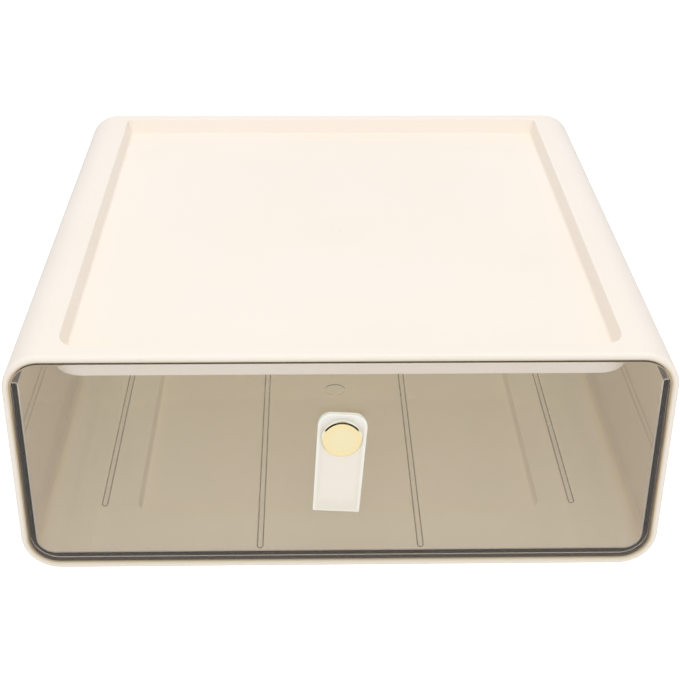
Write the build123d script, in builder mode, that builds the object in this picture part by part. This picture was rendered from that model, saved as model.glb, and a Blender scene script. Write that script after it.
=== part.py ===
from build123d import *
from math import cos, radians, sin, tan
import os

# Stackable drawer box: a one-piece moulded case, open at the front, a clear one-piece
# drawer tray, and a folded leather-look strap held by a gilt button as its pull.
# Millimetres. +X is right, -Y is the front, +Z is up, and Z = 0 is what the feet stand on.

# ---- driving dimensions ----

# case
case_width = 261.0
case_height = 100.8
case_depth = 263.2
case_corner = 15.0  # outer corner of the front profile
wall = 3.2
lip_round = 1.25  # both edges of the open front lip
back_round = 2.2

# stacking recess in the top
rim_width = 20.9  # from the case's side to the recess
recess_front = 7.9
recess_back = 7.9
recess_depth = 8.0
recess_draft = 11.3  # degrees, all round
recess_front_corner = 10.0
recess_back_corner = 3.0
recess_edge_round = 0.5
recess_root_round = 1.2
tub_draft = 5.0  # of the recess's walls where they face the drawer
tub_root_round = 0.8
gate_radius = 2.6
gate_depth = 0.2
gate_from_front = 128.0

# stiffening dish in the case floor, which stands out below
dish_side = 43.0  # from the case's side to the dish
dish_end = 32.5  # from the case's front and back to the dish
dish_depth = 4.0
dish_draft = 14.0
dish_corner = 9.0
dish_round = 0.8

# feet
foot_radius = 7.5
foot_height = 5.0  # below the case
foot_socket = 0.5
foot_socket_gap = 0.2
foot_round = 0.9
stack_gap = 1.5  # between a foot and the recess of the box below

# drawer tray
tray_gap = 0.4  # all round, to the case
tray_back_gap = 1.2
panel_setback = 0.3
panel_thickness = 3.0
panel_round = 0.35
tray_wall = 2.1
tray_floor = 2.1
tray_top_gap = 1.8  # between its walls and the recess's underside
tray_inner_corner = 7.4
tray_back_corner = 7.0
tray_edge_round = 0.7
tray_root_round = 1.0
runner_height = 0.85
runner_gap = 0.1
runner_width = 2.3
inner_runner_x = 33.5  # from the tray's middle to the runner's
outer_runner_from_side = 25.1  # from the tray's side to the runner's middle
inner_runner_front = 7.5  # from the case's front to the runner's end
outer_runner_front = 37.5
runner_back = 9.0  # from the tray's back to the runner's end
runner_round = 0.4
runner_root_round = 0.4
tray_gate_radius = 5.0
tray_gate_depth = 0.4

# strap
strap_width = 19.4
strap_top = 9.8  # above the button's centre
strap_bottom = 37.3  # below the button's centre
strap_corner = 5.5
leather = 1.1  # one layer; the strap is folded double
strap_gap = 0.05
strap_tilt = 3.5  # degrees, as it hangs in use
bend_drop = 2.4  # from the button's edge to the line that the strap bends on
bend_gap = 0.25
fold_flare = 0.35  # how much fuller the fold is than two layers

# button and its screw
button_radius = 8.0
button_thickness = 3.1
button_round = 0.45
button_back_round = 0.2
button_height = 62.45  # above the case floor
boss_radius = 2.6
boss_gap = 0.08
thread_radius = 1.5
thread_gap = 0.05
thread_depth = 3.6
thread_spare = 0.5  # left between the screw's end and the bottom of its hole
screw_hole_gap = 0.2
screw_head_radius = 3.0
screw_head_height = 1.9
screw_head_round = 0.9
cross_length = 3.2
cross_width = 0.7
cross_depth = 1.0
washer_radius = 4.5
washer_thickness = 0.8

# ---- places worked out from them ----

strap_thickness = 2 * leather
pull_depth = strap_thickness + button_thickness - panel_setback + 2 * strap_gap
case_front = (pull_depth - case_depth) / 2  # the whole box is centred on the origin
case_back = case_front + case_depth
case_bottom = foot_height
case_top = case_bottom + case_height
case_middle = case_bottom + case_height / 2
floor_top = case_bottom + wall

opening_width = case_width - 2 * wall
opening_height = case_height - 2 * wall
opening_corner = case_corner - wall

recess_width = case_width - 2 * rim_width
recess_length = case_depth - recess_front - recess_back
recess_y = case_front + recess_front + recess_length / 2
recess_slope = recess_depth * tan(radians(recess_draft))
recess_floor = case_top - recess_depth
# the recess with one wall thickness around it
tub_width = recess_width + 2 * wall
tub_front = case_front + recess_front - wall
tub_back = case_back - recess_back + wall
tub_depth = recess_depth + wall

dish_width = case_width - 2 * dish_side
dish_length = case_depth - 2 * dish_end
dish_y = case_front + case_depth / 2

foot_x = recess_width / 2 - recess_slope - stack_gap - foot_radius
foot_front_y = case_front + recess_front + recess_slope + stack_gap + foot_radius
foot_back_y = case_back - recess_back - recess_slope - stack_gap - foot_radius
foot_places = {
    "front_left": (-foot_x, foot_front_y),
    "front_right": (foot_x, foot_front_y),
    "back_left": (-foot_x, foot_back_y),
    "back_right": (foot_x, foot_back_y),
}

panel_width = opening_width - 2 * tray_gap
panel_height = opening_height - 2 * tray_gap
panel_corner = opening_corner - tray_gap
panel_front = case_front + panel_setback
panel_back = panel_front + panel_thickness
tray_bottom = floor_top + runner_gap + runner_height
tray_top = case_top - tub_depth - tray_top_gap
tray_height = tray_top - tray_bottom
tray_back = case_back - wall - tray_back_gap
runner_end = tray_back - runner_back
outer_runner_x = panel_width / 2 - outer_runner_from_side

button_z = floor_top + button_height
strap_back = panel_front - strap_gap
strap_front = strap_back - strap_thickness
button_back = strap_front - strap_gap
bend_z = -(button_radius + bend_drop)  # along the strap, from the button's centre
bend_y = strap_back - leather


# a round feature's place is its lower end, or its upper end
from_below = (Align.CENTER, Align.CENTER, Align.MIN)
from_above = (Align.CENTER, Align.CENTER, Align.MAX)


def plane_facing_front(y, z=0.0):
    """A drawing plane across the box at y, seen from the front, with its origin z up."""
    return Plane(origin=(0, y, z), x_dir=(1, 0, 0), z_dir=(0, -1, 0))


def plane_on_strap(y):
    """As plane_facing_front, but hung from the button's centre at the strap's tilt."""
    tilt = radians(strap_tilt)
    return Plane(origin=(0, y, button_z), x_dir=(cos(tilt), 0, -sin(tilt)), z_dir=(0, -1, 0))


def lying_at(shapes, axis, place):
    """The faces or edges whose middle lies at one place along an axis."""
    return shapes.filter_by_position(axis, place - 0.001, place + 0.001)


# ---- case ----

# the hollow that the tray slides in
with BuildPart() as case_hollow:
    with BuildSketch(plane_facing_front(case_front, case_middle)):
        RectangleRounded(opening_width, opening_height, opening_corner)
    extrude(amount=-(case_depth - wall))

# the recess's own walls and floor, which hang into that hollow
with BuildPart() as recess_tub:
    with BuildSketch(Plane.XY.offset(case_top)) as tub_outline:
        with Locations((0, (tub_front + tub_back) / 2)):
            Rectangle(tub_width, tub_back - tub_front)
        fillet(tub_outline.vertices().group_by(Axis.Y)[0], recess_front_corner + wall)
        fillet(tub_outline.vertices().group_by(Axis.Y)[-1], recess_back_corner + wall)
    extrude(amount=-tub_depth, taper=tub_draft)
    fillet(recess_tub.faces().sort_by(Axis.Z)[0].edges(), tub_root_round)

with BuildPart() as recess_space:
    with BuildSketch(Plane.XY.offset(case_top)) as recess_outline:
        with Locations((0, recess_y)):
            Rectangle(recess_width, recess_length)
        fillet(recess_outline.vertices().group_by(Axis.Y)[0], recess_front_corner)
        fillet(recess_outline.vertices().group_by(Axis.Y)[-1], recess_back_corner)
    extrude(amount=-recess_depth, taper=recess_draft)
    fillet(recess_space.faces().sort_by(Axis.Z)[0].edges(), recess_root_round)

# the floor's dish, and the same shape one wall larger, which stands out below
with BuildPart() as dish_space:
    with BuildSketch(Plane.XY.offset(floor_top)):
        with Locations((0, dish_y)):
            RectangleRounded(dish_width, dish_length, dish_corner)
    extrude(amount=-dish_depth, taper=dish_draft)
    fillet(dish_space.faces().sort_by(Axis.Z)[0].edges(), dish_round)

with BuildPart() as dish_boss:
    with BuildSketch(Plane.XY.offset(case_bottom)):
        with Locations((0, dish_y)):
            RectangleRounded(dish_width + 2 * wall, dish_length + 2 * wall, dish_corner + wall)
    extrude(amount=-dish_depth, taper=dish_draft)
    fillet(dish_boss.faces().sort_by(Axis.Z)[0].edges(), dish_round)

with BuildPart() as case_shell:
    with BuildSketch(plane_facing_front(case_front, case_middle)):
        RectangleRounded(case_width, case_height, case_corner)
    extrude(amount=-case_depth)
    fillet(case_shell.faces().sort_by(Axis.Y)[-1].edges(), back_round)
    add(case_hollow.part, mode=Mode.SUBTRACT)
    fillet(case_shell.faces().sort_by(Axis.Y)[0].edges(), lip_round)
    add(recess_tub.part)
    add(recess_space.part, mode=Mode.SUBTRACT)
    # the recess's top edge
    mouth = lying_at(case_shell.edges(), Axis.Z, case_top)
    # the case's own edges at that height lie half a rim further out, or more
    reach = (recess_width + rim_width) / 2
    mouth = mouth.filter_by_position(Axis.X, -reach, reach)
    mouth = mouth.filter_by_position(
        Axis.Y, case_front + recess_front / 2, case_back - recess_back / 2
    )
    fillet(mouth, recess_edge_round)
    add(dish_boss.part)
    add(dish_space.part, mode=Mode.SUBTRACT)
    # gate mark in the recess's floor
    with Locations((0, case_front + gate_from_front, recess_floor)):
        Cylinder(gate_radius, gate_depth, align=from_above, mode=Mode.SUBTRACT)
    # sockets for the feet
    for x, y in foot_places.values():
        with Locations((x, y, case_bottom)):
            Cylinder(
                foot_radius + foot_socket_gap,
                foot_socket,
                align=from_below,
                mode=Mode.SUBTRACT,
            )

# ---- feet ----

feet = {}
for place, (x, y) in foot_places.items():
    with BuildPart() as foot:
        with Locations((x, y, 0)):
            Cylinder(foot_radius, foot_height + foot_socket, align=from_below)
        fillet(foot.faces().sort_by(Axis.Z)[0].edges(), foot_round)
    feet[place] = foot.part

# ---- drawer tray ----

with BuildPart() as tray_hollow:
    with BuildSketch(plane_facing_front(panel_back)) as hollow_profile:
        with Locations((0, tray_bottom + tray_floor)):
            Rectangle(
                panel_width - 2 * tray_wall,
                tray_height,
                align=(Align.CENTER, Align.MIN),
            )
        fillet(hollow_profile.vertices().group_by(Axis.Y)[0], tray_inner_corner)
    extrude(amount=-(tray_back - tray_wall - panel_back))
    hollow_back = tray_hollow.faces().sort_by(Axis.Y)[-1].edges().sort_by(Axis.Z)[:-1]
    fillet(hollow_back, tray_back_corner - tray_wall)

with BuildPart() as drawer_tray:
    with BuildSketch(plane_facing_front(panel_back)) as tray_profile:
        with Locations((0, tray_bottom)):
            Rectangle(panel_width, tray_height, align=(Align.CENTER, Align.MIN))
        fillet(tray_profile.vertices().group_by(Axis.Y)[0], panel_corner)
    extrude(amount=-(tray_back - panel_back))
    tray_back_edges = drawer_tray.faces().sort_by(Axis.Y)[-1].edges().sort_by(Axis.Z)[:-1]
    fillet(tray_back_edges, tray_back_corner)
    add(tray_hollow.part, mode=Mode.SUBTRACT)
    # the walls' top edges, but not their ends, which run into the front panel
    rim_edges = drawer_tray.faces().sort_by(Axis.Z)[-1].edges().group_by(Axis.Y)[1:]
    fillet([edge for group in rim_edges for edge in group], tray_edge_round)
    with BuildSketch(plane_facing_front(panel_front, case_middle)):
        RectangleRounded(panel_width, panel_height, panel_corner)
    extrude(amount=-panel_thickness)
    fillet(drawer_tray.faces().sort_by(Axis.Y)[0].edges(), panel_round)
    # the corner between the panel and the floor
    floor_z = tray_bottom + tray_floor
    panel_root = lying_at(drawer_tray.edges(), Axis.Y, panel_back)
    fillet(lying_at(panel_root, Axis.Z, floor_z), tray_root_round)
    # runners under the floor
    for runner_x, runner_front in (
        (inner_runner_x, inner_runner_front),
        (outer_runner_x, outer_runner_front),
    ):
        runner_start = case_front + runner_front
        with BuildSketch(Plane.XY.offset(tray_bottom)):
            with Locations(
                (-runner_x, (runner_start + runner_end) / 2),
                (runner_x, (runner_start + runner_end) / 2),
            ):
                SlotOverall(runner_end - runner_start, runner_width, rotation=90)
        extrude(amount=-runner_height)
    # first the runners' lower edges, then the corners they make with the floor
    runner_faces = lying_at(drawer_tray.faces(), Axis.Z, tray_bottom - runner_height)
    fillet(runner_faces.edges(), runner_round)
    runner_roots = lying_at(drawer_tray.edges(), Axis.Z, tray_bottom)
    for runner_x in (inner_runner_x, outer_runner_x):
        for middle in (-runner_x, runner_x):
            roots = runner_roots.filter_by_position(
                Axis.X, middle - runner_width, middle + runner_width
            )
            fillet(roots, runner_root_round)
    # gate dimple in the floor
    with Locations((0, (panel_back + tray_back) / 2, tray_bottom + tray_floor)):
        Cylinder(tray_gate_radius, tray_gate_depth, align=from_above, mode=Mode.SUBTRACT)
    # hole for the pull's screw
    with BuildSketch(plane_facing_front(panel_front, button_z)):
        Circle(thread_radius + screw_hole_gap)
    extrude(amount=-panel_thickness, mode=Mode.SUBTRACT)

# ---- strap: the clamped head, and the loop that hangs from it ----

with BuildPart() as strap_head:
    with BuildSketch(plane_on_strap(strap_back)) as head_outline:
        with Locations((0, bend_z + leather + bend_gap)):
            Rectangle(
                strap_width,
                strap_top - bend_z - leather - bend_gap,
                align=(Align.CENTER, Align.MIN),
            )
        fillet(head_outline.vertices().group_by(Axis.Y)[-1], strap_corner)
        Circle(boss_radius + boss_gap, mode=Mode.SUBTRACT)
    extrude(amount=strap_thickness)

# its side view, drawn on the strap's middle line and carried both ways across the width
to_the_left = (-cos(radians(strap_tilt)), 0, sin(radians(strap_tilt)))
side_view = Plane(origin=(0, bend_y, button_z), x_dir=(0, -1, 0), z_dir=to_the_left)
loop_length = strap_bottom + bend_z
fold_radius = leather + fold_flare / 2
with BuildPart() as strap_loop:
    with BuildSketch(side_view):
        with Locations((0, bend_z)):
            Circle(leather)
        with Locations((0, bend_z - (loop_length - fold_radius) / 2)):
            Rectangle(strap_thickness, loop_length - fold_radius)
        with Locations((fold_flare / 2, -strap_bottom + fold_radius)):
            Circle(fold_radius)
    extrude(amount=strap_width / 2, both=True)

# ---- button, screw and washer ----

with BuildPart() as pull_button:
    with BuildSketch(plane_facing_front(button_back, button_z)):
        Circle(button_radius)
    extrude(amount=button_thickness)
    fillet(pull_button.faces().sort_by(Axis.Y)[0].edges(), button_round)
    fillet(pull_button.faces().sort_by(Axis.Y)[-1].edges(), button_back_round)
    with BuildSketch(plane_facing_front(panel_front, button_z)):
        Circle(boss_radius)
    extrude(amount=panel_front - button_back)
    with BuildSketch(plane_facing_front(panel_front, button_z)):
        Circle(thread_radius + thread_gap)
    extrude(amount=thread_depth, mode=Mode.SUBTRACT)

head_seat = panel_back + washer_thickness
with BuildPart() as screw_washer:
    with BuildSketch(plane_facing_front(head_seat, button_z)):
        Circle(washer_radius)
        Circle(thread_radius + screw_hole_gap, mode=Mode.SUBTRACT)
    extrude(amount=washer_thickness)

with BuildPart() as pull_screw:
    with BuildSketch(plane_facing_front(head_seat, button_z)):
        Circle(screw_head_radius)
    extrude(amount=-screw_head_height)
    fillet(pull_screw.faces().sort_by(Axis.Y)[-1].edges(), screw_head_round)
    with BuildSketch(plane_facing_front(head_seat, button_z)):
        Circle(thread_radius)
    extrude(amount=head_seat - panel_front + thread_depth - thread_spare)
    with BuildSketch(plane_facing_front(head_seat + screw_head_height, button_z)):
        Rectangle(cross_length, cross_width)
        Rectangle(cross_width, cross_length)
    extrude(amount=cross_depth, mode=Mode.SUBTRACT)

# ---- files ----

pieces = {
    "case_shell": case_shell.part,
    "drawer_tray": drawer_tray.part,
    "strap_head": strap_head.part,
    "strap_loop": strap_loop.part,
    "pull_button": pull_button.part,
    "screw_washer": screw_washer.part,
    "pull_screw": pull_screw.part,
}
pieces.update({f"foot_{place}": solid for place, solid in feet.items()})
os.makedirs("parts", exist_ok=True)
for name, solid in pieces.items():
    solid.label = name
    export_step(solid, f"parts/{name}.step")
print(f"stands {case_top:.1f} high, {case_width:.1f} wide, {case_depth + pull_depth:.1f} deep")
print(f"case front y {case_front:.3f}, panel front y {panel_front:.3f}, floor top z {floor_top:.3f}")
print(f"button centre z {button_z:.3f}, bend at y {bend_y:.3f}, {bend_z:.2f} along the strap")
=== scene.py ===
from math import cos, pi, radians, sin

import bpy
from mathutils import Matrix, Vector


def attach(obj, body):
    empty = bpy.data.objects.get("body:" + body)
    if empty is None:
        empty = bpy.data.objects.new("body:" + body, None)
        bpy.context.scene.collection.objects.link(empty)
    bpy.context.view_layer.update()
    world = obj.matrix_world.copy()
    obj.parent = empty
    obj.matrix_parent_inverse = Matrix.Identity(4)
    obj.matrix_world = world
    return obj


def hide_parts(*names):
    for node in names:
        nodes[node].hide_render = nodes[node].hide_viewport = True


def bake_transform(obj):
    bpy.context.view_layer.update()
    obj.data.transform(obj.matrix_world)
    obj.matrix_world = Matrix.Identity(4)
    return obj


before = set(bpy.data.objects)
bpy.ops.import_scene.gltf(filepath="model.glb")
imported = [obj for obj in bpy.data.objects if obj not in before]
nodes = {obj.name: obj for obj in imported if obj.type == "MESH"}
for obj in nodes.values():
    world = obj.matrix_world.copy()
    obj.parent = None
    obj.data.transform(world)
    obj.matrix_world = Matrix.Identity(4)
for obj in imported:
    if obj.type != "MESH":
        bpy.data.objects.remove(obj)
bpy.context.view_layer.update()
MM = 0.001

# ---- camera: in front of the box and above it, looking down at about 30 degrees ----
# The place and the lens were solved from the box's own edges. A square picture.

CAMERA_PLACE = Vector((-12.32, -578.37, 366.22)) * MM
CAMERA_YAW = radians(1.446)  # to the right
CAMERA_PITCH = radians(29.431)  # downwards
CAMERA_ROLL = radians(0.428)
CAMERA_LENS = 72.58  # mm
CAMERA_SENSOR = 36.0  # mm
NEAREST_SEEN = 10 * MM

level = Vector((cos(CAMERA_YAW), -sin(CAMERA_YAW), 0))
along_floor = Vector((sin(CAMERA_YAW), cos(CAMERA_YAW), 0))
ahead = along_floor * cos(CAMERA_PITCH) - Vector((0, 0, 1)) * sin(CAMERA_PITCH)
upright = level.cross(ahead)
right = level * cos(CAMERA_ROLL) + upright * sin(CAMERA_ROLL)
up = upright * cos(CAMERA_ROLL) - level * sin(CAMERA_ROLL)
bpy.ops.object.camera_add()
camera = bpy.context.object
camera.data.sensor_width = CAMERA_SENSOR
camera.data.lens = CAMERA_LENS
camera.data.clip_start = NEAREST_SEEN
camera.matrix_world = Matrix((right, up, -ahead)).transposed().to_4x4()
camera.location = CAMERA_PLACE
bpy.context.scene.camera = camera
bpy.context.scene.view_settings.view_transform = "Standard"


# ---- case shell: one thick-walled moulding in warm cream plastic, satin from its mould ----
# The mould's texture shows as a very fine grain. The plastic is a little uneven in gloss, and
# slightly deeper in colour around the gate in the middle of the top. Light passes its walls.


class Socket:
    """A value in a node tree. Arithmetic on it adds Math nodes to that tree."""

    def __init__(self, tree, out):
        self.tree = tree
        self.out = out

    def math(self, operation, *values):
        node = self.tree.nodes.new("ShaderNodeMath")
        node.operation = operation
        for entry, value in zip(node.inputs, values):
            feed(self.tree, entry, value)
        return Socket(self.tree, node.outputs[0])

    def __add__(self, other):
        return self.math("ADD", self, other)

    def __radd__(self, other):
        return self.math("ADD", other, self)

    def __sub__(self, other):
        return self.math("SUBTRACT", self, other)

    def __rsub__(self, other):
        return self.math("SUBTRACT", other, self)

    def __mul__(self, other):
        return self.math("MULTIPLY", self, other)

    def __rmul__(self, other):
        return self.math("MULTIPLY", other, self)

    def __pow__(self, other):
        return self.math("POWER", self, other)

    def __rpow__(self, other):
        return self.math("POWER", other, self)

    def size(self):
        return self.math("ABSOLUTE", self)

    def most(self, other):
        return self.math("MAXIMUM", self, other)

    def least(self, other):
        return self.math("MINIMUM", self, other)

    def sibling(self, output):
        """Another output of the same node."""
        return Socket(self.tree, self.out.node.outputs[output])


def feed(tree, entry, value):
    """Links a socket to a node's entry, or sets the entry's own value."""
    if isinstance(value, Socket):
        tree.links.new(value.out, entry)
    else:
        entry.default_value = value


def srgb(red, green, blue):
    """A colour as it is read off a screen, 0 to 255, as the linear colour that shaders take."""
    parts = [c / 255 for c in (red, green, blue)]
    linear = [c / 12.92 if c <= 0.04045 else ((c + 0.055) / 1.055) ** 2.4 for c in parts]
    return (*linear, 1.0)


class Finish:
    """The nodes of one material, or of the sky."""

    def __init__(self, owner):
        self.owner = owner
        owner.use_nodes = True
        self.tree = owner.node_tree
        self.tree.nodes.clear()

    def node(self, kind, settings=None, entries=None, output=0):
        """Adds a node, sets its settings and then its entries, and gives one of its outputs."""
        made = self.tree.nodes.new("ShaderNode" + kind)
        for key, value in (settings or {}).items():
            setattr(made, key, value)
        for key, value in (entries or {}).items():
            feed(self.tree, made.inputs[key], value)
        if not made.outputs:
            return None
        return Socket(self.tree, made.outputs[output])

    def place(self):
        """Object coordinates, in metres."""
        return self.node("TexCoord", output="Object")

    def axes(self, place):
        """The three coordinates apart."""
        x = self.node("SeparateXYZ", {}, {0: place})
        return x, x.sibling(1), x.sibling(2)

    def noise(self, place, scale, detail=3.0):
        return self.node("TexNoise", {}, {"Vector": place, "Scale": scale, "Detail": detail})

    def spread(self, value, low, high, new_low, new_high):
        """Maps a range to another smoothly and stays inside it."""
        entries = {"Value": value, "From Min": low, "From Max": high, "To Min": new_low, "To Max": new_high}
        return self.node("MapRange", {"interpolation_type": "SMOOTHSTEP"}, entries)

    def vary(self, noise, low, high):
        """Maps a noise, which mostly lies between 0.3 and 0.7, to a range."""
        return self.spread(noise, 0.3, 0.7, low, high)

    def between(self, share, colour_a, colour_b):
        """The first colour where share is 0, the second where it is 1."""
        return self.node("Mix", {"data_type": "RGBA"}, {0: share, 6: colour_a, 7: colour_b}, output=2)

    def mixed(self, share, surface_a, surface_b):
        """As between, for two surfaces."""
        return self.node("MixShader", {}, {0: share, 1: surface_a, 2: surface_b})

    def beyond(self, x, z, half_width, low, high, corner):
        """How far a point lies outside an upright rounded rectangle, negative inside it."""
        side = x.size() - (half_width - corner)
        over = (z - (low + high) / 2).size() - ((high - low) / 2 - corner)
        round_part = (side.most(0.0) ** 2.0 + over.most(0.0) ** 2.0) ** 0.5
        return round_part + side.most(over).least(0.0) - corner

    def bump(self, height, strength, distance):
        return self.node("Bump", {}, {"Height": height, "Strength": strength, "Distance": distance})

    def ray(self, kind):
        """1 for rays of one kind, such as Shadow, and 0 for others."""
        return self.node("LightPath", output=f"Is {kind} Ray")

    def principled(self, entries):
        return self.node("BsdfPrincipled", {}, entries)

    def output(self, surface):
        self.node("OutputMaterial", {}, {"Surface": surface})


def wear(piece, finish):
    """Gives a piece its finish, in place of what it came with."""
    piece.data.materials.clear()
    piece.data.materials.append(finish.owner)


CREAM = srgb(250, 241, 231)
CREAM_DEEP = srgb(246, 235, 222)
CREAM_PAINTED_SHADE = srgb(208, 192, 156)
CREAM_THROUGH = (0.95, 0.935, 0.785, 1.0)  # what each face of the wall lets through
CREAM_GLOW = 0.5  # share of translucent light on the sides' inner faces
CASE_GRAIN = 0.35 * MM  # size of the moulded grain
CASE_GRAIN_HEIGHT = 0.04 * MM
GATE_HALO = 30 * MM
UNDER_RECESS = 90 * MM  # height that the halo starts from
CASE_FRONT = -129.05 * MM
OPENING_HALF = 127.3 * MM
OPENING_BOTTOM = 8.2 * MM
OPENING_TOP = 102.6 * MM
OPENING_CORNER = 11.8 * MM
LIP_WIDTH = 1.9 * MM  # of the painted shade on its rounded inner side
LIP_DEPTH = 1.2 * MM
LIP_SHADE = 0.9


def case_plastic():
    finish = Finish(bpy.data.materials.new("case_plastic"))
    place = finish.place()
    clouds = finish.noise(place, 9.0, 4.0)
    grain = finish.noise(place, 1 / CASE_GRAIN, 2.0)
    patches = finish.noise(place, 55.0)
    x, y, z = finish.axes(place)
    from_gate = (x * x + y * y) ** 0.5
    halo = finish.spread(from_gate, 4 * MM, GATE_HALO, 1.0, 0.0)
    halo = halo * finish.spread(z, UNDER_RECESS, UNDER_RECESS + 6 * MM, 0.0, 1.0)
    tone = finish.vary(clouds, 0.0, 0.35) + halo * 0.25
    colour = finish.between(tone, CREAM, CREAM_DEEP)
    # painted shade: the rounded inner side of the lip is given a deeper beige for the shade that lies on it
    from_opening = finish.beyond(x, z, OPENING_HALF, OPENING_BOTTOM, OPENING_TOP, OPENING_CORNER)
    lip = finish.spread(from_opening, 0.0, LIP_WIDTH, 1.0, 0.0)
    lip = lip * finish.spread(y, CASE_FRONT + LIP_DEPTH, CASE_FRONT + 2 * LIP_DEPTH, 1.0, 0.0)
    colour = finish.between(lip * LIP_SHADE, colour, CREAM_PAINTED_SHADE)
    rough = finish.vary(patches, 0.36, 0.44) + (grain - 0.5) * 0.08
    normal = finish.bump(grain, 0.12, CASE_GRAIN_HEIGHT)
    satin = {"Base Color": colour, "Roughness": rough, "Normal": normal, "IOR": 1.5}
    # the sides' inner faces glow a little with the light that falls on the wall's other side
    inward = finish.spread(from_opening, 0.3 * MM, 0.7 * MM, 1.0, 0.0)
    inward = inward * finish.spread(x.size(), OPENING_HALF - 6 * MM, OPENING_HALF - 1 * MM, 0.0, 1.0)
    glow = finish.node("BsdfTranslucent", {}, {"Color": CREAM})
    wall = finish.mixed(inward * CREAM_GLOW, finish.principled(satin), glow)
    # and a wall of such plastic lets light through: its shadow is lighter and warm
    through = finish.node("BsdfTransparent", {}, {"Color": CREAM_THROUGH})
    finish.output(finish.mixed(finish.ray("Shadow"), wall, through))
    return finish


wear(nodes["case_shell"], case_plastic())


# ---- feet: four soft discs pressed into shallow sockets under the case ----
# Grey translucent rubber with a faint bloom, as such feet are supplied.


def foot_rubber():
    finish = Finish(bpy.data.materials.new("foot_rubber"))
    place = finish.place()
    bloom = finish.noise(place, 420.0, 4.0)
    colour = finish.between(bloom, srgb(214, 208, 196), srgb(196, 190, 178))
    normal = finish.bump(finish.noise(place, 2600.0), 0.2, 0.05 * MM)
    rough = finish.vary(bloom, 0.55, 0.7)
    finish.output(finish.principled({"Base Color": colour, "Roughness": rough, "Normal": normal}))
    return finish


rubber = foot_rubber()
for corner in ("front_left", "front_right", "back_left", "back_right"):
    wear(nodes["foot_" + corner], rubber)


# ---- drawer tray: one clear moulding, lightly smoked, polished inside and out ----
# Through a wall it is nearly clear. Along a wall the smoke adds up over the tray's length, so the walls and
# the floor look dark end on.
# Around the front panel's border that darkness is also painted, as a dark band.

WHITE = (1.0, 1.0, 1.0, 1.0)
TRAY_IOR = 1.49
SMOKE = (0.53, 0.49, 0.43, 1.0)
SMOKE_DENSITY = 55.0  # per metre
PANEL_BACK = -125.75 * MM
PANEL_HALF = 126.9 * MM
PANEL_BOTTOM = 8.6 * MM
PANEL_TOP = 102.2 * MM
PANEL_CORNER = 11.4 * MM
EDGE_PAINTED_SHADE = srgb(80, 71, 68)
EDGE_DEPTH = 0.56 * MM  # how far inside the panel's outline its painted dark band starts
EDGE_LEFT_CLEAR = 12 * MM  # the painted dark band fades out this far below the panel's top
ROOT_REACH = 3.2 * MM  # from the panel's outline over the rounded root
ROOT_DEPTH = 0.9 * MM
ROOT_HIGHLIGHT = 0.7
HAZE = 0.02  # share of its light that it scatters


def tray_plastic():
    finish = Finish(bpy.data.materials.new("tray_plastic"))
    place = finish.place()
    rough = finish.vary(finish.noise(place, 14.0), 0.0, 0.02)
    polished = {"Base Color": WHITE, "Roughness": rough, "IOR": TRAY_IOR}
    polished["Transmission Weight"] = 1.0
    open_to_light = finish.node("BsdfTransparent", {}, {"Color": WHITE})
    light_rays = finish.ray("Shadow").most(finish.ray("Diffuse"))
    surface = finish.mixed(light_rays, finish.principled(polished), open_to_light)
    # painted shade: a matt dark band is painted round the panel's border, for its clear sides and
    # underside, which look dark through its front
    x, y, z = finish.axes(place)
    on_panel = finish.spread(y, PANEL_BACK + 0.03 * MM, PANEL_BACK + 0.08 * MM, 1.0, 0.0)
    outside = finish.beyond(x, z, PANEL_HALF, PANEL_BOTTOM, PANEL_TOP, PANEL_CORNER)
    edge = finish.spread(outside, -EDGE_DEPTH - 0.16 * MM, -EDGE_DEPTH, 0.0, 1.0) * on_panel
    fade_end = PANEL_TOP - EDGE_LEFT_CLEAR
    edge = edge * finish.spread(z, fade_end - 18 * MM, fade_end, 1.0, 0.0)
    painted_dark_band = finish.principled({"Base Color": EDGE_PAINTED_SHADE, "Roughness": 0.5, "IOR": TRAY_IOR})
    surface = finish.mixed(edge, surface, painted_dark_band)
    # painted highlight: a whitish matt line in the rounded root where the panel meets the walls and the
    # floor
    in_root = finish.spread(y, PANEL_BACK + ROOT_DEPTH, PANEL_BACK + ROOT_DEPTH + 0.2 * MM, 1.0, 0.0)
    in_root = in_root * (1.0 - on_panel)
    in_root = in_root * finish.spread(outside, -ROOT_REACH - 0.2 * MM, -ROOT_REACH, 0.0, 1.0)
    painted_highlight = finish.principled({"Base Color": srgb(255, 250, 246), "Roughness": 0.6, "IOR": TRAY_IOR})
    surface = finish.mixed(in_root * ROOT_HIGHLIGHT, surface, painted_highlight)
    # and a faint haze lies on all of it
    haze = finish.principled({"Base Color": srgb(246, 232, 222), "Roughness": 0.6, "IOR": TRAY_IOR})
    surface = finish.mixed(HAZE, surface, haze)
    smoke = finish.node("VolumeAbsorption", {}, {"Color": SMOKE, "Density": SMOKE_DENSITY})
    finish.node("OutputMaterial", {}, {"Surface": surface, "Volume": smoke})
    return finish


wear(nodes["drawer_tray"], tray_plastic())


# ---- screw and washer: the pull's fixing, inside the drawer ----
# A zinc plated pan-head screw on a natural nylon washer.


def zinc_plate():
    finish = Finish(bpy.data.materials.new("zinc_plate"))
    haze = finish.noise(finish.place(), 900.0)
    colour = finish.between(haze, srgb(205, 205, 208), srgb(186, 186, 190))
    rough = finish.vary(haze, 0.24, 0.36)
    finish.output(finish.principled({"Base Color": colour, "Roughness": rough, "Metallic": 1.0}))
    return finish


def nylon():
    finish = Finish(bpy.data.materials.new("nylon"))
    haze = finish.noise(finish.place(), 700.0)
    colour = finish.between(haze, srgb(240, 238, 230), srgb(228, 226, 216))
    rough = finish.vary(haze, 0.45, 0.55)
    finish.output(finish.principled({"Base Color": colour, "Roughness": rough}))
    return finish


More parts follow.
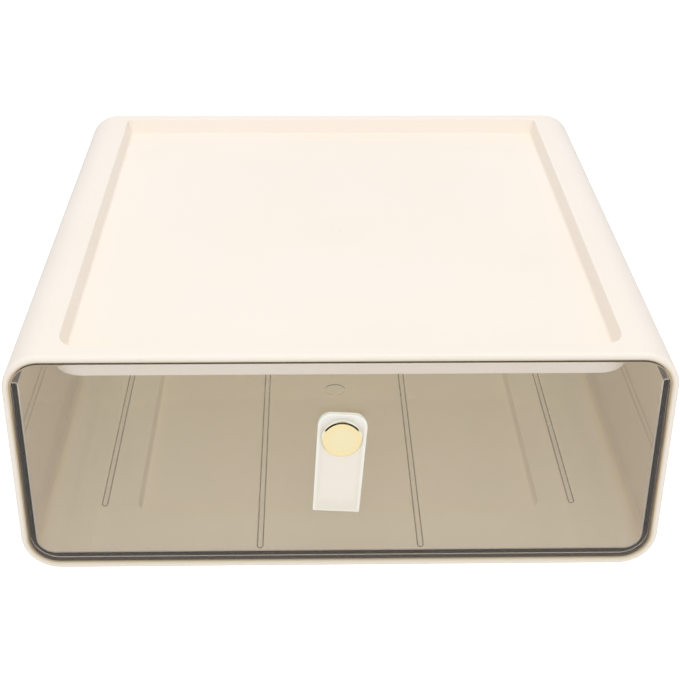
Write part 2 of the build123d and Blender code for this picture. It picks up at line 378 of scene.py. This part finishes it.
wear(nodes["pull_screw"], zinc_plate())
wear(nodes["screw_washer"], nylon())


# ---- pull button: a turned disc with a bright chamfer and a short threaded boss, light gold plate ----
# It clamps the strap to the panel: the screw comes through from inside and ends in its boss.

PULL_HEIGHT = 70.65 * MM
BUTTON_RADIUS = 8.0 * MM
BUTTON_BACK = -131.05 * MM
BUTTON_THICKNESS = 3.1 * MM
BUTTON_FRONT = BUTTON_BACK - BUTTON_THICKNESS
BUTTON_CHAMFER = 0.6 * MM
BUTTON_BACK_ROUND = 0.2 * MM
EDGE_BREAK = 0.06 * MM  # on the chamfer's own two edges
STEP_INSET = 1.1 * MM  # a shallow turned step inside the face's rim
STEP_SLOPE = 0.12 * MM
STEP_DEPTH = 0.035 * MM
STEP_RING = 0.4 * MM
PANEL_FRONT = -128.75 * MM
BOSS_RADIUS = 2.6 * MM
THREAD_RADIUS = 1.55 * MM
THREAD_DEPTH = 3.6 * MM
NEAR = 0.01 * MM  # how far apart two places may be that count as one


def deselect():
    for obj in bpy.context.selected_objects:
        obj.select_set(False)


def pick_faces(obj, test):
    """In edit mode, selects just the faces whose middle and normal pass the test."""
    bpy.ops.mesh.select_mode(type="FACE")
    bpy.ops.mesh.select_all(action="DESELECT")
    bpy.ops.object.mode_set(mode="OBJECT")
    for face in obj.data.polygons:
        face.select = bool(test(face.center, face.normal))
    bpy.ops.object.mode_set(mode="EDIT")


def pick_edges(obj, test):
    """In edit mode, selects just the edges whose two ends pass the test."""
    bpy.ops.mesh.select_mode(type="EDGE")
    bpy.ops.mesh.select_all(action="DESELECT")
    bpy.ops.object.mode_set(mode="OBJECT")
    points = obj.data.vertices
    for edge in obj.data.edges:
        edge.select = bool(test(points[edge.vertices[0]].co, points[edge.vertices[1]].co))
    bpy.ops.object.mode_set(mode="EDIT")


def extrude_by(x, y, z):
    bpy.ops.mesh.extrude_region_move(TRANSFORM_OT_translate={"value": (x, y, z)})


def inset_by(*thicknesses):
    """Insets what is selected by each thickness in turn."""
    for thickness in thicknesses:
        bpy.ops.mesh.inset(thickness=thickness)


def finish_shape(obj, name, angle):
    """Leaves edit mode with the object at the origin, its outward sides out, smooth up to an angle."""
    bpy.ops.mesh.select_all(action="SELECT")
    bpy.ops.mesh.normals_make_consistent(inside=False)
    bpy.ops.object.mode_set(mode="OBJECT")
    bpy.ops.object.transform_apply(location=True, rotation=True, scale=True)
    bpy.ops.object.shade_smooth_by_angle(angle=radians(angle))
    obj.name = name
    obj.data.name = name


def make_button():
    deselect()
    middle = (BUTTON_BACK + BUTTON_FRONT) / 2
    bpy.ops.mesh.primitive_cylinder_add(
        vertices=144,
        radius=BUTTON_RADIUS,
        depth=BUTTON_THICKNESS,
        location=(0, middle, PULL_HEIGHT),
        rotation=(pi / 2, 0, 0),
    )
    disc = bpy.context.object
    bpy.ops.object.transform_apply(location=True, rotation=True, scale=True)
    bpy.ops.object.mode_set(mode="EDIT")
    pick_edges(disc, lambda a, b: a.y < middle and b.y < middle)
    bpy.ops.mesh.bevel(offset=BUTTON_CHAMFER, segments=1, affect="EDGES")
    pick_edges(disc, lambda a, b: a.y > BUTTON_BACK - NEAR and b.y > BUTTON_BACK - NEAR)
    bpy.ops.mesh.bevel(offset=BUTTON_BACK_ROUND, segments=2, affect="EDGES")
    rings = (BUTTON_FRONT, BUTTON_FRONT + BUTTON_CHAMFER)
    pick_edges(disc, lambda a, b: any(abs(a.y - y) + abs(b.y - y) < NEAR for y in rings))
    bpy.ops.mesh.bevel(offset=EDGE_BREAK, segments=2, affect="EDGES")
    face_middle = Vector((0, BUTTON_FRONT, PULL_HEIGHT))
    pick_faces(disc, lambda c, n: n.y < -0.99 and (c - face_middle).length < MM)
    inset_by(STEP_INSET, STEP_SLOPE)
    bpy.ops.transform.translate(value=(0, STEP_DEPTH, 0))
    inset_by(STEP_RING)
    # the boss behind it, with the hole that the screw's thread goes into
    pick_faces(disc, lambda c, n: n.y > 0.99 and c.y > BUTTON_BACK - NEAR)
    inset_by(BUTTON_RADIUS - BUTTON_BACK_ROUND - BOSS_RADIUS)
    extrude_by(0, PANEL_FRONT - BUTTON_BACK, 0)
    inset_by(BOSS_RADIUS - THREAD_RADIUS)
    extrude_by(0, -THREAD_DEPTH, 0)
    finish_shape(disc, "pull_button_dressed", 20)
    return disc


def gold_plate():
    finish = Finish(bpy.data.materials.new("gold_plate"))
    place = finish.place()
    haze = finish.noise(place, 260.0)
    x, y, z = finish.axes(place)
    # the face is plated over a fine blasted ground, the side is polished brighter
    face = finish.spread(y, BUTTON_FRONT + 0.1 * MM, BUTTON_FRONT + 0.5 * MM, 1.0, 0.0)
    height = z - PULL_HEIGHT
    from_middle = (x * x + height * height) ** 0.5
    ring = finish.spread(from_middle, 4.2 * MM, 6.4 * MM, 0.0, 0.8) + (haze - 0.5) * 0.3
    warm = finish.between(ring, srgb(245, 233, 192), srgb(249, 230, 178))
    colour = finish.between(face, srgb(255, 252, 242), warm)
    rough = finish.vary(haze, 0.03, 0.05) + face * 0.14
    normal = finish.bump(finish.noise(place, 3000.0), 0.05, 0.02 * MM)
    plate = {"Base Color": colour, "Roughness": rough, "Metallic": 1.0, "Normal": normal}
    finish.output(finish.principled(plate))
    return finish


button = make_button()
wear(button, gold_plate())
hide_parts("pull_button")
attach(button, "drawer")


# ---- strap: soft coated leather, one piece folded double with its fold at the bottom ----
# Both ends lie under the button. Its cut edges are painted and stand up a little as a border.

STRAP_HALF = 9.75 * MM  # half its width under the button
STRAP_TOP = 9.8 * MM  # above the button's centre
STRAP_BOTTOM = 37.3 * MM  # below the button's centre
STRAP_CORNER = 5.5 * MM
STRAP_BACK = -128.8 * MM
STRAP_HEAD = 6.2 * MM  # length of its top stretch, which the round corners lie in
STRAP_STEPS = 14  # along each layer
LEATHER = 1.06 * MM  # thickness of one layer
STRAP_DEPTH = 2.2 * MM  # of both layers
STRAP_TILT = radians(3.5)
STRAP_TAPER = 0.962  # its width at the fold, as a share of the width at its top
BORDER_WIDTH = 0.85 * MM
BORDER_SLOPE = 0.4 * MM
BORDER_HEIGHT = 0.12 * MM
CUT_EDGE_ROUND = 0.22 * MM


def fold_strap(strap, front, top):
    """From its top stretch, down the front layer, round the fold, and up the back layer."""
    fold = PULL_HEIGHT - STRAP_BOTTOM + STRAP_DEPTH / 2
    step = (top - STRAP_HEAD - fold) / STRAP_STEPS
    pick_faces(strap, lambda c, n: n.z < -0.9)
    for _ in range(STRAP_STEPS):
        extrude_by(0, 0, -step)
    bpy.ops.mesh.spin(steps=10, angle=pi, center=(0, front + STRAP_DEPTH / 2, fold), axis=(1, 0, 0))
    for _ in range(STRAP_STEPS):
        extrude_by(0, 0, step)
    extrude_by(0, 0, STRAP_HEAD)
    bpy.ops.mesh.select_all(action="SELECT")
    bpy.ops.mesh.remove_doubles(threshold=NEAR)


def taper_strap(strap, top):
    """Narrows it towards the fold, row by row of its points."""
    below = top - STRAP_HEAD
    bpy.ops.mesh.select_mode(type="VERT")
    bpy.ops.object.mode_set(mode="OBJECT")
    rows = sorted({round(v.co.z / MM, 2) for v in strap.data.vertices if v.co.z < below + NEAR})
    for row in rows:
        bpy.ops.object.mode_set(mode="EDIT")
        bpy.ops.mesh.select_all(action="DESELECT")
        bpy.ops.object.mode_set(mode="OBJECT")
        for point in strap.data.vertices:
            point.select = abs(point.co.z / MM - row) < 0.006
        share = (below - row * MM) / (STRAP_TOP + STRAP_BOTTOM - STRAP_HEAD)
        bpy.ops.object.mode_set(mode="EDIT")
        bpy.ops.transform.resize(
            value=(1 - (1 - STRAP_TAPER) * share, 1, 1),
            center_override=(0, STRAP_BACK, PULL_HEIGHT),
        )
        bpy.ops.object.mode_set(mode="OBJECT")
    bpy.ops.object.mode_set(mode="EDIT")


def make_strap():
    deselect()
    front = STRAP_BACK - STRAP_DEPTH
    top = PULL_HEIGHT + STRAP_TOP
    bpy.ops.mesh.primitive_cube_add(size=1, location=(0, front + LEATHER / 2, top - STRAP_HEAD / 2))
    strap = bpy.context.object
    strap.scale = (2 * STRAP_HALF, LEATHER, STRAP_HEAD)
    bpy.ops.object.transform_apply(location=True, rotation=True, scale=True)
    bpy.ops.object.mode_set(mode="EDIT")
    fold_strap(strap, front, top)
    # round corners where both layers end
    pick_edges(
        strap,
        lambda a, b: min(a.z, b.z) > top - NEAR
        and abs(a.x - b.x) < NEAR
        and abs(a.x) > STRAP_HALF - NEAR,
    )
    bpy.ops.mesh.bevel(offset=STRAP_CORNER, segments=10, affect="EDGES")
    taper_strap(strap, top)
    # a border stands up along the cut edges of the front
    pick_faces(strap, lambda c, n: n.y < -0.99 and c.y < front + 2 * NEAR)
    inset_by(BORDER_WIDTH, BORDER_SLOPE)
    bpy.ops.transform.translate(value=(0, BORDER_HEIGHT, 0))
    # the cut edges are rounded over
    bpy.ops.mesh.select_mode(type="EDGE")
    bpy.ops.mesh.select_all(action="DESELECT")
    bpy.ops.mesh.edges_select_sharp(sharpness=radians(50))
    bpy.ops.mesh.bevel(offset=CUT_EDGE_ROUND, segments=3, affect="EDGES")
    bpy.ops.object.mode_set(mode="OBJECT")
    # where each point lies on the upright strap, kept for its material
    flat = strap.data.attributes.new("on_strap", "FLOAT_VECTOR", "POINT")
    for point in strap.data.vertices:
        flat.data[point.index].vector = (point.co.x, point.co.y, point.co.z - PULL_HEIGHT)
    bpy.ops.object.mode_set(mode="EDIT")
    bpy.ops.mesh.select_all(action="SELECT")
    bpy.ops.transform.rotate(
        value=-STRAP_TILT,
        orient_axis="Y",
        orient_type="GLOBAL",
        center_override=(0, STRAP_BACK, PULL_HEIGHT),
    )
    finish_shape(strap, "pull_strap", 45)
    return strap


def strap_leather():
    finish = Finish(bpy.data.materials.new("strap_leather"))
    flat = finish.node("Attribute", {"attribute_name": "on_strap"}, output="Vector")
    x, _, z = finish.axes(flat)
    pebbles = finish.node("TexVoronoi", {}, {"Vector": flat, "Scale": 1500.0})
    tone = finish.noise(flat, 160.0)
    colour = finish.between(tone, srgb(250, 243, 231), srgb(247, 239, 226))
    # the painted border, down both sides and above the fold, is lighter: partly its edge paint and partly a
    # painted highlight along the raised edges
    half = STRAP_HALF * (1 + STRAP_TAPER) / 2
    side = finish.spread(x.size(), half - 1.5 * MM, half - 0.7 * MM, 0.0, 1.0)
    low = finish.spread(z, 1.5 * MM - STRAP_BOTTOM, 2.1 * MM - STRAP_BOTTOM, 1.0, 0.0)
    border = side.most(low)
    # painted shade: it is a little greyer beside its border and above its fold; and painted light: it is
    # whiter at its top
    inside = finish.spread(x.size(), half - 3.4 * MM, half - 1.6 * MM, 0.0, 0.7)
    shade_above_fold = finish.spread(z, 2.2 * MM - STRAP_BOTTOM, 9 * MM - STRAP_BOTTOM, 1.0, 0.0)
    colour = finish.between(inside.most(shade_above_fold), colour, srgb(241, 235, 221))
    colour = finish.between(border, colour, srgb(253, 249, 240))
    high = finish.spread(z, 2 * MM, 8 * MM, 0.0, 1.0)
    colour = finish.between(high, colour, srgb(255, 253, 246))
    rough = finish.vary(tone, 0.42, 0.55) - border * 0.1
    normal = finish.bump(pebbles, 0.2, 0.04 * MM)
    finish.output(finish.principled({"Base Color": colour, "Roughness": rough, "Normal": normal}))
    return finish


strap = make_strap()
wear(strap, strap_leather())
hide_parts("strap_head", "strap_loop")
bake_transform(strap)


# ---- studio: a pale floor that runs out to white, a soft sky, and two large soft lamps ----
# One lamp is above the camera and lights the front, the other is overhead. What metal and
# glass see is white all round, but for the dark ceiling of the room above and in front.

FLOOR_SIZE = 12.0
PAPER_DARK = (0.69, 0.69, 0.69, 1.0)
PAPER_LIGHT = (0.71, 0.71, 0.71, 1.0)
GLOW_SEEN = 0.8  # what the floor adds where the camera sees it, so that it comes out white
GLOW_MIRRORED = 0.3  # and where it is mirrored
SKY = 0.6
CEILING_DARK = 0.97
FRONT_LAMP_PLACE = (0.0, -1.35, 0.62)
FRONT_LAMP_AIM = (0.0, 0.0, 0.05)
FRONT_LAMP_POWER = 6.3
FRONT_LAMP_SIZE = 0.9
TOP_LAMP_PLACE = (0.0, 0.15, 1.4)
TOP_LAMP_AIM = (0.0, 0.0, 0.1)
TOP_LAMP_POWER = 7.0
TOP_LAMP_SIZE = 1.2


def floor_paper():
    finish = Finish(bpy.data.materials.new("floor_paper"))
    mottle = finish.noise(finish.place(), 3.0)
    paper = finish.node("BsdfDiffuse", {}, {"Color": finish.between(mottle, PAPER_DARK, PAPER_LIGHT)})
    strength = finish.ray("Camera") * GLOW_SEEN + finish.ray("Glossy") * GLOW_MIRRORED
    glow = finish.node("Emission", {}, {"Color": WHITE, "Strength": strength})
    finish.output(finish.node("AddShader", {}, {0: paper, 1: glow}))
    return finish


def make_sky():
    world = bpy.data.worlds.new("sky")
    bpy.context.scene.world = world
    sky = Finish(world)
    _, north, zenith = sky.axes(sky.node("TexCoord", output="Generated"))
    in_front = sky.spread(north, -0.75, -0.6, 0.0, 1.0) * sky.spread(north, -0.2, -0.05, 1.0, 0.0)
    ceiling = in_front * sky.spread(zenith, 0.02, 0.1, 0.0, 1.0)
    seen = sky.ray("Camera").most(sky.ray("Transmission"))
    mirrored = sky.ray("Glossy")
    backdrop = seen.most(mirrored * (1.0 - ceiling * CEILING_DARK))
    soft_light = (1.0 - seen.most(mirrored)) * SKY
    light = sky.node("Background", {}, {"Color": WHITE, "Strength": backdrop + soft_light})
    sky.node("OutputWorld", {}, {"Surface": light})


def soft_lamp(name, place, aim, power, size):
    bpy.ops.object.light_add(type="AREA", location=place)
    lamp = bpy.context.object
    lamp.name = name
    lamp.data.shape = "SQUARE"
    lamp.data.size = size
    lamp.data.energy = power
    lamp.rotation_euler = (Vector(aim) - Vector(place)).to_track_quat("-Z", "Y").to_euler()
    lamp.visible_glossy = False


bpy.ops.mesh.primitive_plane_add(size=FLOOR_SIZE, location=(0, 0, 0))
floor = bpy.context.object
floor.name = "floor"
wear(floor, floor_paper())
make_sky()
soft_lamp("front_lamp", FRONT_LAMP_PLACE, FRONT_LAMP_AIM, FRONT_LAMP_POWER, FRONT_LAMP_SIZE)
soft_lamp("top_lamp", TOP_LAMP_PLACE, TOP_LAMP_AIM, TOP_LAMP_POWER, TOP_LAMP_SIZE)
